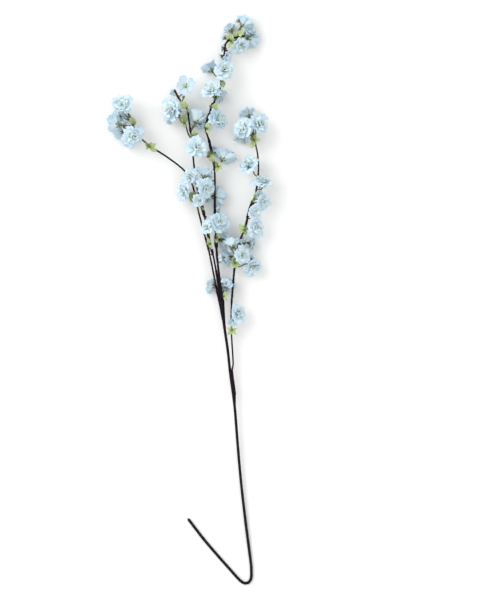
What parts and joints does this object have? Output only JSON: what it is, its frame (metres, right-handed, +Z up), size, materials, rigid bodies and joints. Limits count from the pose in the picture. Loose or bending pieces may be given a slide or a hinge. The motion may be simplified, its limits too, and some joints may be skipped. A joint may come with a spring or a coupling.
{
  "type": "artificial peach blossom spray",
  "caption": "Long artificial peach blossom spray lying flat: a dark coated wire stem folded back at its foot, slim branches, pale blue ruffled double blossoms and small yellow-green leaves.",
  "frame": {"origin": "on the surface the spray lies on, under the middle of its bounding box", "axes": "+Y along the spray from the folded stem foot towards the tips, +X across it to the right as seen from above, +Z up from the surface"},
  "size_m": [0.324, 1.1374, 0.0606],
  "materials": {
    "coated_wire": "near-black, faintly purple-brown plastic wrap on wire, satin, with small bark knots",
    "petal_fabric": "pale blue heat-formed polyester petals, matte, thin and slightly translucent, greenish towards the centre",
    "leaf_fabric": "light yellow-green printed fabric leaves, matte"
  },
  "bodies": {
    "root": {"main_stem": "coated_wire", "left_branch": "coated_wire", "middle_branch": "coated_wire", "middle_twig": "coated_wire", "leader_branch": "coated_wire", "right_branch": "coated_wire", "left_blossom_1": "petal_fabric", "left_blossom_2": "petal_fabric", "left_blossom_3": "petal_fabric", "left_blossom_4": "petal_fabric", "left_blossom_5": "petal_fabric", "left_blossom_6": "petal_fabric", "middle_blossom_1": "petal_fabric", "middle_blossom_2": "petal_fabric", "middle_blossom_3": "petal_fabric", "middle_blossom_4": "petal_fabric", "middle_blossom_5": "petal_fabric", "middle_blossom_6": "petal_fabric", "middle_blossom_7": "petal_fabric", "middle_blossom_8": "petal_fabric", "middle_blossom_9": "petal_fabric", "leader_blossom_1": "petal_fabric", "leader_blossom_2": "petal_fabric", "leader_blossom_3": "petal_fabric", "leader_blossom_4": "petal_fabric", "leader_blossom_5": "petal_fabric", "leader_blossom_6": "petal_fabric", "leader_blossom_7": "petal_fabric", "leader_blossom_8": "petal_fabric", "leader_blossom_9": "petal_fabric", "leader_blossom_10": "petal_fabric", "leader_blossom_11": "petal_fabric", "leader_blossom_12": "petal_fabric", "leader_blossom_13": "petal_fabric", "right_blossom_1": "petal_fabric", "right_blossom_2": "petal_fabric", "right_blossom_3": "petal_fabric", "right_blossom_4": "petal_fabric", "right_blossom_5": "petal_fabric", "right_blossom_6": "petal_fabric", "right_blossom_7": "petal_fabric", "right_blossom_8": "petal_fabric", "right_blossom_9": "petal_fabric", "right_blossom_10": "petal_fabric", "right_blossom_11": "petal_fabric", "right_blossom_12": "petal_fabric", "right_blossom_13": "petal_fabric", "right_blossom_14": "petal_fabric", "right_blossom_15": "petal_fabric", "stem_blossom_1": "petal_fabric", "stem_blossom_2": "petal_fabric", "left_leaf": "leaf_fabric", "middle_leaf": "leaf_fabric", "twig_leaf": "leaf_fabric", "leader_leaf_1": "leaf_fabric", "leader_leaf_2": "leaf_fabric", "leader_leaf_3": "leaf_fabric", "right_leaf_1": "leaf_fabric", "right_leaf_2": "leaf_fabric", "right_leaf_3": "leaf_fabric"}
  },
  "joints": []
}
